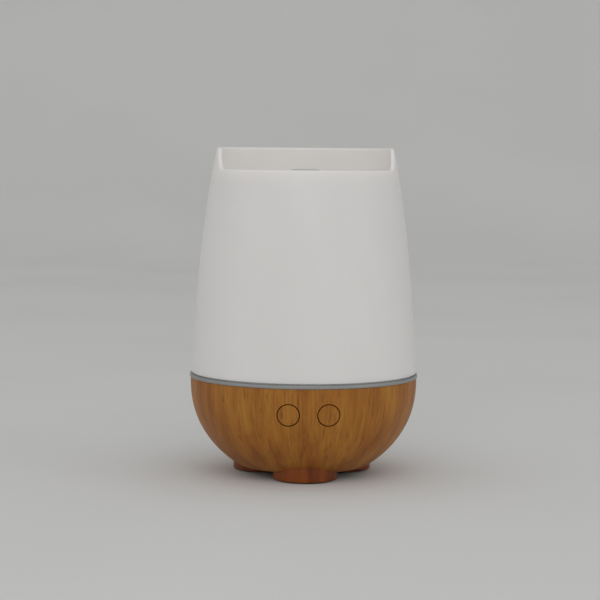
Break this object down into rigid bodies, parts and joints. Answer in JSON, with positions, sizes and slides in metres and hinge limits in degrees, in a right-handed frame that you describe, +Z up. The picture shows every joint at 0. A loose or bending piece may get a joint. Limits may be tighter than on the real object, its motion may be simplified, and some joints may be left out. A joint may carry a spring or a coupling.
{
  "type": "cool mist humidifier",
  "caption": "Cool mist humidifier with a tapered white cover cut lower at the front, a silver ring and a wood-look bowl base with round buttons and disc feet.",
  "frame": {"origin": "on the floor, under the centre of the round body", "axes": "+Z up; the buttons and the low front lip face -Y; the power inlet faces +Y; +X is to the right seen from the front"},
  "size_m": [0.1098, 0.1098, 0.157],
  "materials": {
    "cover_white": "satin, slightly translucent white polypropylene",
    "nozzle_grey": "satin grey moulded plastic",
    "lid_white": "satin, frosted translucent polypropylene",
    "tank_white": "satin white polypropylene",
    "seal_rubber": "matt silicone rubber",
    "ring_silver": "satin silver-grey paint on plastic",
    "wood_print": "satin wood-grain print on plastic",
    "foot_print": "darker satin wood-grain print on plastic",
    "plate_brown": "matt dark brown moulded plastic",
    "pad_rubber": "matt rubber",
    "screw_steel": "zinc-plated steel",
    "black_plastic": "matt black moulded plastic",
    "board_green": "green solder mask on glass-fibre board",
    "copper": "enamelled copper winding",
    "cap_sleeve": "dark shrink sleeve",
    "heatsink_metal": "plain extruded aluminium",
    "socket_ivory": "ivory moulded plastic",
    "led_white": "clear resin in a white case",
    "disc_brass": "plated metal disc",
    "wire_sleeve": "soft insulated wire"
  },
  "bodies": {
    "base": {"water_tank": "tank_white", "tank_seal": "seal_rubber", "trim_ring": "ring_silver", "base_bowl": "wood_print", "bottom_plate": "plate_brown", "foot_front": "foot_print", "foot_left": "foot_print", "foot_right": "foot_print", "foot_pads": "pad_rubber", "case_screws": "screw_steel", "tact_switches": "black_plastic", "button_board": "board_green", "main_board": "board_green", "board_screws": "screw_steel", "drive_coil": "copper", "capacitors": "cap_sleeve", "heatsink": "heatsink_metal", "driver_chips": "black_plastic", "wire_sockets": "socket_ivory", "led_board": "board_green", "leds": "led_white", "piezo_disc": "disc_brass", "piezo_gasket": "seal_rubber", "piezo_plate": "screw_steel", "piezo_screws": "screw_steel", "fan_frame": "black_plastic", "dc_jack": "black_plastic", "dc_pin": "screw_steel", "wiring": "wire_sleeve"},
    "lid": {"inner_lid": "lid_white"},
    "cover": {"outer_cover": "cover_white", "mist_nozzle": "nozzle_grey"},
    "left_button": {"button_left": "wood_print", "plunger_left": "black_plastic"},
    "right_button": {"button_right": "wood_print", "plunger_right": "black_plastic"},
    "fan": {"fan_rotor": "black_plastic", "fan_shaft": "screw_steel"}
  },
  "joints": [
    {"name": "lid_lift", "type": "slide", "parent": "base", "child": "lid", "axis": [0, 0, 1], "range_m": [0, 0.1]},
    {"name": "cover_lift", "type": "slide", "parent": "lid", "child": "cover", "axis": [0, 0, 1], "range_m": [0, 0.12]},
    {"name": "left_button_press", "type": "slide", "parent": "base", "child": "left_button", "axis": [0, 1, 0], "range_m": [0, 0.0006], "stiffness_N_per_m": 2500, "springref_m": -0.0002},
    {"name": "right_button_press", "type": "slide", "parent": "base", "child": "right_button", "axis": [0, 1, 0], "range_m": [0, 0.0006], "stiffness_N_per_m": 2500, "springref_m": -0.0002},
    {"name": "fan_spin", "type": "hinge", "parent": "base", "child": "fan", "pos_m": [0, 0.014, 0.0119], "axis": [0, 0, 1], "continuous": true}
  ]
}
